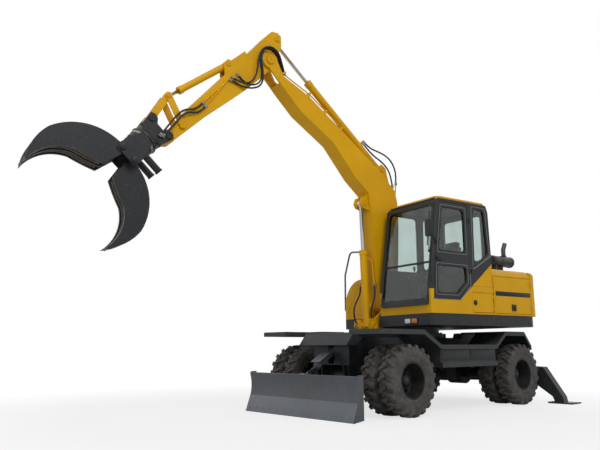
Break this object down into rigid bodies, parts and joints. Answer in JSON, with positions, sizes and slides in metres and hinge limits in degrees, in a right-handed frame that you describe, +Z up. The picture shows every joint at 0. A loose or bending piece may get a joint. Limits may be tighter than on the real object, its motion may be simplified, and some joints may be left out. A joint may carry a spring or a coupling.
{
  "type": "log grapple loader",
  "caption": "Wheeled log loader: twin-tyred carrier with blade and stabilizers, slewing upper works with cab, folding boom and arm with rams, and a rotating log grapple.",
  "frame": {"origin": "on the ground, under the middle of the whole machine's length and width as it is parked", "axes": "+X toward the front of the carrier, where the blade is, +Y to its left, +Z up"},
  "size_m": [7.2961, 3.14, 5.15],
  "materials": {
    "yellow": "gloss",
    "slate": "satin",
    "blade_grey": "satin",
    "black_steel": "satin",
    "chrome": "polished",
    "tyre": "matte",
    "glass": "tinted",
    "seat_fabric": "matte",
    "lamp_lens": "satin",
    "black_plastic": "matte",
    "engine_iron": "matte",
    "hose_rubber": "matte"
  },
  "bodies": {
    "carrier": {"chassis": "slate", "fender_left": "slate", "fender_right": "slate", "axle_front": "slate", "axle_rear": "slate"},
    "knuckle_left": {"knuckle_left": "slate"},
    "knuckle_right": {"knuckle_right": "slate"},
    "wheel_front_left": {"rim_front_left": "slate", "tyres_front_left": "tyre"},
    "wheel_front_right": {"rim_front_right": "slate", "tyres_front_right": "tyre"},
    "wheel_rear_left": {"rim_rear_left": "slate", "tyres_rear_left": "tyre"},
    "wheel_rear_right": {"rim_rear_right": "slate", "tyres_rear_right": "tyre"},
    "blade": {"blade": "blade_grey"},
    "blade_tube": {"blade_tube": "yellow"},
    "blade_rod": {"blade_rod": "chrome"},
    "leg_left": {"leg_left": "slate"},
    "leg_tube_left": {"leg_tube_left": "slate"},
    "leg_rod_left": {"leg_rod_left": "chrome"},
    "leg_right": {"leg_right": "slate"},
    "leg_tube_right": {"leg_tube_right": "slate"},
    "leg_rod_right": {"leg_rod_right": "chrome"},
    "upper": {"turret": "slate", "hood": "yellow", "counterweight": "yellow", "engine": "engine_iron", "tank": "yellow", "exhaust": "black_plastic", "cab_base": "yellow", "cab_frame": "slate", "cab_roof": "yellow", "cab_glass": "glass", "seat": "seat_fabric", "handrail": "slate", "cab_fittings": "lamp_lens", "hoses_foot": "hose_rubber"},
    "cab_door": {"cab_door": "slate", "door_glass": "glass"},
    "hood_door": {"hood_door": "yellow"},
    "locker_door": {"locker_door": "yellow"},
    "boom": {"boom": "yellow", "hoses_boom": "hose_rubber"},
    "boom_tube": {"boom_tube": "yellow"},
    "boom_rod": {"boom_rod": "chrome"},
    "arm": {"arm": "yellow", "hoses_tip": "hose_rubber"},
    "arm_tube": {"arm_tube": "yellow"},
    "arm_rod": {"arm_rod": "chrome"},
    "tilt_tube": {"tilt_tube": "yellow"},
    "tilt_rod": {"tilt_rod": "chrome"},
    "rocker": {"rocker": "yellow"},
    "link": {"link": "black_steel"},
    "hanger": {"hanger": "black_steel"},
    "rotator": {"rotator": "black_steel"},
    "jaw_upper": {"jaw_upper": "black_steel"},
    "jaw_lower": {"jaw_lower": "black_steel"},
    "jaw_tubes": {"jaw_tubes": "black_steel"},
    "jaw_rods": {"jaw_rods": "chrome"}
  },
  "joints": [
    {"name": "steer_left", "type": "hinge", "parent": "carrier", "child": "knuckle_left", "pos_m": [-0.406, 0.6, 0.43], "axis": [0, 0, 1], "range_deg": [-20, 20]},
    {"name": "steer_right", "type": "hinge", "parent": "carrier", "child": "knuckle_right", "pos_m": [-0.406, -0.6, 0.43], "axis": [0, 0, 1], "range_deg": [-20.5, 20.5]},
    {"name": "roll_front_left", "type": "hinge", "parent": "knuckle_left", "child": "wheel_front_left", "pos_m": [-0.406, 0.874, 0.43], "axis": [0, 1, 0], "continuous": true},
    {"name": "roll_front_right", "type": "hinge", "parent": "knuckle_right", "child": "wheel_front_right", "pos_m": [-0.406, -0.874, 0.43], "axis": [0, 1, 0], "continuous": true},
    {"name": "roll_rear_left", "type": "hinge", "parent": "carrier", "child": "wheel_rear_left", "pos_m": [-2.861, 0.874, 0.43], "axis": [0, 1, 0], "continuous": true},
    {"name": "roll_rear_right", "type": "hinge", "parent": "carrier", "child": "wheel_rear_right", "pos_m": [-2.861, -0.874, 0.43], "axis": [0, 1, 0], "continuous": true},
    {"name": "blade_lift", "type": "hinge", "parent": "carrier", "child": "blade", "pos_m": [-0.216, 0, 0.4], "axis": [0, -1, 0], "range_deg": [-7, 25]},
    {"name": "blade_ram_swing", "type": "hinge", "parent": "carrier", "child": "blade_tube", "pos_m": [-0.166, 0, 0.78], "axis": [0, -1, 0], "range_deg": [-6.05, 20.33]},
    {"name": "blade_ram_stroke", "type": "slide", "parent": "blade_tube", "child": "blade_rod", "axis": [0.8522, 0, -0.5232], "range_m": [-0.1619, 0.0475]},
    {"name": "leg_lift_left", "type": "hinge", "parent": "carrier", "child": "leg_left", "pos_m": [-3.496, 0.48, 0.36], "axis": [1, 0, 0], "range_deg": [0, 40]},
    {"name": "leg_ram_swing_left", "type": "hinge", "parent": "carrier", "child": "leg_tube_left", "pos_m": [-3.496, 0.42, 0.99], "axis": [1, 0, 0], "range_deg": [-0.5, 4.4]},
    {"name": "leg_ram_stroke_left", "type": "slide", "parent": "leg_tube_left", "child": "leg_rod_left", "axis": [0, 0.6139, -0.7894], "range_m": [-0.2555, 0.003]},
    {"name": "leg_lift_right", "type": "hinge", "parent": "carrier", "child": "leg_right", "pos_m": [-3.496, -0.48, 0.36], "axis": [-1, 0, 0], "range_deg": [0, 40]},
    {"name": "leg_ram_swing_right", "type": "hinge", "parent": "carrier", "child": "leg_tube_right", "pos_m": [-3.496, -0.42, 0.99], "axis": [-1, 0, 0], "range_deg": [-0.5, 4.4]},
    {"name": "leg_ram_stroke_right", "type": "slide", "parent": "leg_tube_right", "child": "leg_rod_right", "axis": [0, -0.6139, -0.7894], "range_m": [-0.2555, 0.003]},
    {"name": "slew", "type": "hinge", "parent": "carrier", "child": "upper", "pos_m": [-1.646, 0, 1.05], "axis": [0, 0, 1], "continuous": true},
    {"name": "cab_door_swing", "type": "hinge", "parent": "upper", "child": "cab_door", "pos_m": [-1.74056, 1.10073, 2], "axis": [0, 0, 1], "range_deg": [0, 110]},
    {"name": "hood_door_swing", "type": "hinge", "parent": "upper", "child": "hood_door", "pos_m": [-2.99538, 1.25279, 1.55], "axis": [0, 0, 1], "range_deg": [0, 100]},
    {"name": "locker_door_swing", "type": "hinge", "parent": "upper", "child": "locker_door", "pos_m": [-2.17082, 1.14953, 1.415], "axis": [0, 0, 1], "range_deg": [0, 100]},
    {"name": "boom_lift", "type": "hinge", "parent": "upper", "child": "boom", "pos_m": [-1.36652, -0.18544, 1.43], "axis": [-0.1219, -0.9925, 0], "range_deg": [-65, 2]},
    {"name": "boom_ram_swing", "type": "hinge", "parent": "upper", "child": "boom_tube", "pos_m": [-1.04096, -0.22542, 1.123], "axis": [-0.1219, -0.9925, 0], "range_deg": [-61.8, 2.39], "deforming": ["hoses_foot"]},
    {"name": "boom_ram_stroke", "type": "slide", "parent": "boom_tube", "child": "boom_rod", "axis": [0.0345, -0.0042, 0.9994], "range_m": [-0.4851, 0.0178]},
    {"name": "arm_fold", "type": "hinge", "parent": "boom", "child": "arm", "pos_m": [0.65331, -0.43345, 4.7], "axis": [0.1219, 0.9925, 0], "range_deg": [-35, 45], "deforming": ["hoses_boom"]},
    {"name": "arm_ram_swing", "type": "hinge", "parent": "boom", "child": "arm_tube", "pos_m": [-1.33079, -0.18983, 3.473], "axis": [-0.1219, -0.9925, 0], "range_deg": [-3.21, 2.61], "deforming": ["hoses_boom"]},
    {"name": "arm_ram_stroke", "type": "slide", "parent": "arm_tube", "child": "arm_rod", "axis": [0.7557, -0.0928, 0.6483], "range_m": [-0.2026, 0.2597]},
    {"name": "grapple_tilt", "type": "hinge", "parent": "arm", "child": "hanger", "pos_m": [2.04288, -0.60406, 3.346], "axis": [-0.1219, -0.9925, 0], "range_deg": [-90, 8], "deforming": ["hoses_tip"]},
    {"name": "rocker_swing", "type": "hinge", "parent": "arm", "child": "rocker", "pos_m": [1.87415, -0.58335, 3.515], "axis": [-0.1219, -0.9925, 0], "range_deg": [-64.13, 6.16]},
    {"name": "link_swing", "type": "hinge", "parent": "hanger", "child": "link", "pos_m": [2.26322, -0.63112, 3.526], "axis": [-0.1219, -0.9925, 0], "range_deg": [-5.33, 54.81]},
    {"name": "tilt_ram_swing", "type": "hinge", "parent": "arm", "child": "tilt_tube", "pos_m": [1.25678, -0.50754, 4.502], "axis": [-0.1219, -0.9925, 0], "range_deg": [-5.32, 0.93]},
    {"name": "tilt_ram_stroke", "type": "slide", "parent": "tilt_tube", "child": "tilt_rod", "axis": [0.7816, -0.096, -0.6164], "range_m": [-0.0397, 0.4153]},
    {"name": "grapple_spin", "type": "hinge", "parent": "hanger", "child": "rotator", "pos_m": [2.15305, -0.61759, 3.436], "axis": [0.6769, -0.0831, -0.7314], "continuous": true},
    {"name": "jaw_close", "type": "hinge", "parent": "rotator", "child": "jaw_upper", "pos_m": [2.61825, -0.67471, 3.08001], "axis": [0.1219, 0.9925, 0], "range_deg": [0, 40]},
    {"name": "jaw_close_lower", "type": "hinge", "parent": "rotator", "child": "jaw_lower", "pos_m": [2.47307, -0.65689, 2.94361], "axis": [-0.1219, -0.9925, 0], "range_deg": [-0.5, 40.5]},
    {"name": "jaw_ram_swing", "type": "hinge", "parent": "jaw_lower", "child": "jaw_tubes", "pos_m": [2.34323, -0.64094, 3.04724], "axis": [-0.1219, -0.9925, 0], "range_deg": [-40.5, 0.5]},
    {"name": "jaw_ram_stroke", "type": "slide", "parent": "jaw_tubes", "child": "jaw_rods", "axis": [0.7259, -0.0891, 0.682], "range_m": [-0.003, 0.2099]}
  ],
  "couplings": [
    {"joint": "steer_right", "follows": "steer_left", "ratio": 1},
    {"joint": "blade_ram_swing", "follows": "blade_lift", "ratio": 0.7932},
    {"joint": "blade_ram_stroke", "follows": "blade_lift", "m_per_rad": -0.3641},
    {"joint": "leg_ram_swing_left", "follows": "leg_lift_left", "ratio": 0.0976},
    {"joint": "leg_ram_stroke_left", "follows": "leg_lift_left", "m_per_rad": -0.3617},
    {"joint": "leg_ram_swing_right", "follows": "leg_lift_right", "ratio": 0.0976},
    {"joint": "leg_ram_stroke_right", "follows": "leg_lift_right", "m_per_rad": -0.3617},
    {"joint": "boom_ram_swing", "follows": "boom_lift", "ratio": 0.943},
    {"joint": "boom_ram_stroke", "follows": "boom_lift", "m_per_rad": 0.425},
    {"joint": "arm_ram_swing", "follows": "arm_fold", "ratio": -0.0602},
    {"joint": "arm_ram_stroke", "follows": "arm_fold", "m_per_rad": 0.3268},
    {"joint": "rocker_swing", "follows": "grapple_tilt", "ratio": 0.707},
    {"joint": "link_swing", "follows": "grapple_tilt", "ratio": -0.6035},
    {"joint": "tilt_ram_swing", "follows": "grapple_tilt", "ratio": 0.0535},
    {"joint": "tilt_ram_stroke", "follows": "grapple_tilt", "m_per_rad": -0.2625},
    {"joint": "jaw_close_lower", "follows": "jaw_close", "ratio": 1},
    {"joint": "jaw_ram_swing", "follows": "jaw_close", "ratio": -1},
    {"joint": "jaw_ram_stroke", "follows": "jaw_close", "m_per_rad": 0.2963}
  ]
}
